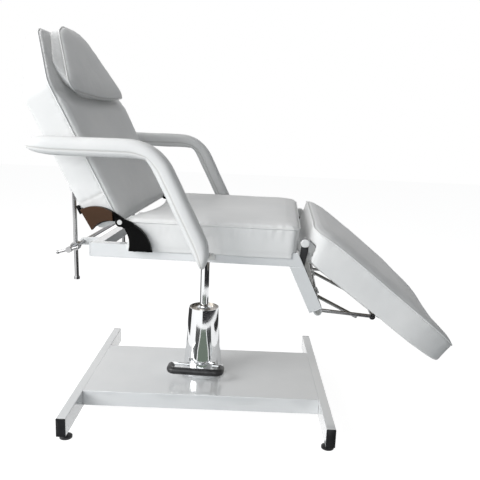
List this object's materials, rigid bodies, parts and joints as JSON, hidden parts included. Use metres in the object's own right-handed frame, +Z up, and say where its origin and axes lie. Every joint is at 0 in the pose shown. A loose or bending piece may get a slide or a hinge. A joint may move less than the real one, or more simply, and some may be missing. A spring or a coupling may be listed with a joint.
{
  "type": "beauty treatment chair",
  "caption": "White padded beauty treatment chair: reclining back with head pillow, seat, raised leg rest and bent armrests on a hydraulic pump column with an H-shaped base.",
  "frame": {"origin": "on the floor, under the middle of the bounding box", "axes": "+X towards the foot end, +Y towards the sitter's left, +Z up"},
  "size_m": [1.3144, 0.844, 1.1938],
  "materials": {
    "white_enamel": "gloss",
    "leatherette": "satin",
    "chrome": "polished",
    "steel": "satin",
    "black_plastic": "satin",
    "black_gloss": "gloss",
    "brown_gloss": "gloss",
    "rubber": "matte",
    "plywood": "raw"
  },
  "bodies": {
    "base": {"base_rail_foot": "white_enamel", "base_rail_head": "white_enamel", "base_tray": "white_enamel", "rail_end_caps": "black_plastic", "levelling_feet": "black_plastic", "foot_nuts": "steel", "pump_flange": "white_enamel", "flange_bolts": "steel", "pump_cylinder": "steel", "pump_cover": "chrome", "cover_cap": "brown_gloss", "rod_wiper": "chrome", "pedal_lugs": "steel"},
    "piston": {"piston_head": "steel", "piston_rod": "chrome"},
    "frame": {"column_socket": "steel", "mount_plate": "white_enamel", "seat_cross_tubes": "white_enamel", "mount_bolts": "steel", "seat_rail_left": "white_enamel", "seat_rail_right": "white_enamel", "front_leg_left": "white_enamel", "front_leg_right": "white_enamel", "stay_tabs": "white_enamel", "front_cross_bar": "white_enamel", "rear_cross_tube": "white_enamel", "tube_plugs": "white_enamel", "seat_cushion": "leatherette", "seat_board": "plywood", "seat_hinge_plates": "black_gloss", "seat_hinge_covers": "black_gloss", "back_pivot_bolts": "chrome", "hinge_foot_bolts": "steel", "leg_hinge_brackets": "black_gloss", "leg_hinge_pins": "steel", "stay_pivot_bolts": "chrome", "lever_hangers": "white_enamel", "arm_core_left": "steel", "arm_core_right": "steel", "arm_pad_left": "leatherette", "arm_pad_right": "leatherette", "arm_bolts": "steel"},
    "backrest": {"back_cushion": "leatherette", "back_board": "plywood", "back_hinge_plates": "black_gloss", "back_hinge_covers": "brown_gloss", "rod_brackets": "steel"},
    "pillow": {"head_pillow": "leatherette"},
    "lock_rods": {"back_lock_rods": "chrome"},
    "clamp_shaft": {"back_clamp_shaft": "chrome"},
    "clamp_lever_left": {"back_lever_left": "chrome"},
    "clamp_lever_right": {"back_lever_right": "chrome"},
    "legrest": {"leg_cushion": "leatherette", "leg_board": "plywood", "leg_hinge_plates": "steel", "leg_slot_plates": "white_enamel"},
    "stays": {"leg_stays": "chrome"},
    "release": {"leg_release_levers": "chrome"},
    "pedal": {"pedal_bar": "chrome", "pedal_sleeve": "rubber"}
  },
  "joints": [
    {"name": "lift", "type": "slide", "parent": "base", "child": "piston", "axis": [0, 0, 1], "range_m": [-0.1, 0.06]},
    {"name": "swivel", "type": "hinge", "parent": "piston", "child": "frame", "pos_m": [-0.13184, 0, 0.514], "axis": [0, 0, 1], "continuous": true},
    {"name": "recline", "type": "hinge", "parent": "frame", "child": "backrest", "pos_m": [-0.33384, 0, 0.651], "axis": [0, -1, 0], "range_deg": [-12, 40]},
    {"name": "leg_raise", "type": "hinge", "parent": "frame", "child": "legrest", "pos_m": [0.18416, 0, 0.614], "axis": [0, -1, 0], "range_deg": [-8, 36]},
    {"name": "back_rods", "type": "hinge", "parent": "backrest", "child": "lock_rods", "pos_m": [-0.4865, 0, 0.73325], "axis": [0, -1, 0], "range_deg": [-21, 7]},
    {"name": "back_shaft", "type": "hinge", "parent": "frame", "child": "clamp_shaft", "pos_m": [-0.48353, 0, 0.56347], "axis": [0, -1, 0], "range_deg": [-7, 21]},
    {"name": "clamp_left", "type": "hinge", "parent": "clamp_shaft", "child": "clamp_lever_left", "pos_m": [-0.48353, 0.312, 0.56347], "axis": [0, 1, 0], "range_deg": [-50, 50]},
    {"name": "clamp_right", "type": "hinge", "parent": "clamp_shaft", "child": "clamp_lever_right", "pos_m": [-0.48353, -0.312, 0.56347], "axis": [0, -1, 0], "range_deg": [-50, 50]},
    {"name": "leg_stay_swing", "type": "hinge", "parent": "frame", "child": "stays", "pos_m": [0.23316, 0, 0.407], "axis": [0, -1, 0], "range_deg": [-18.5, 81]},
    {"name": "leg_release", "type": "hinge", "parent": "frame", "child": "release", "pos_m": [0.23308, 0, 0.42132], "axis": [0, -1, 0], "range_deg": [-15, 0], "stiffness_Nm_per_rad": 4, "springref_deg": 14.32},
    {"name": "pedal_press", "type": "hinge", "parent": "base", "child": "pedal", "pos_m": [-0.13184, -0.046, 0.122], "axis": [1, 0, 0], "range_deg": [0, 16], "stiffness_Nm_per_rad": 5, "springref_deg": -14.32},
    {"name": "pillow_lift", "type": "slide", "parent": "backrest", "child": "pillow", "axis": [0.891, 0, 0.454], "range_m": [0, 0.12]}
  ],
  "couplings": [
    {"joint": "back_rods", "follows": "recline", "ratio": -0.5},
    {"joint": "back_shaft", "follows": "recline", "ratio": 0.5},
    {"joint": "leg_stay_swing", "follows": "leg_raise", "ratio": 2.23}
  ]
}
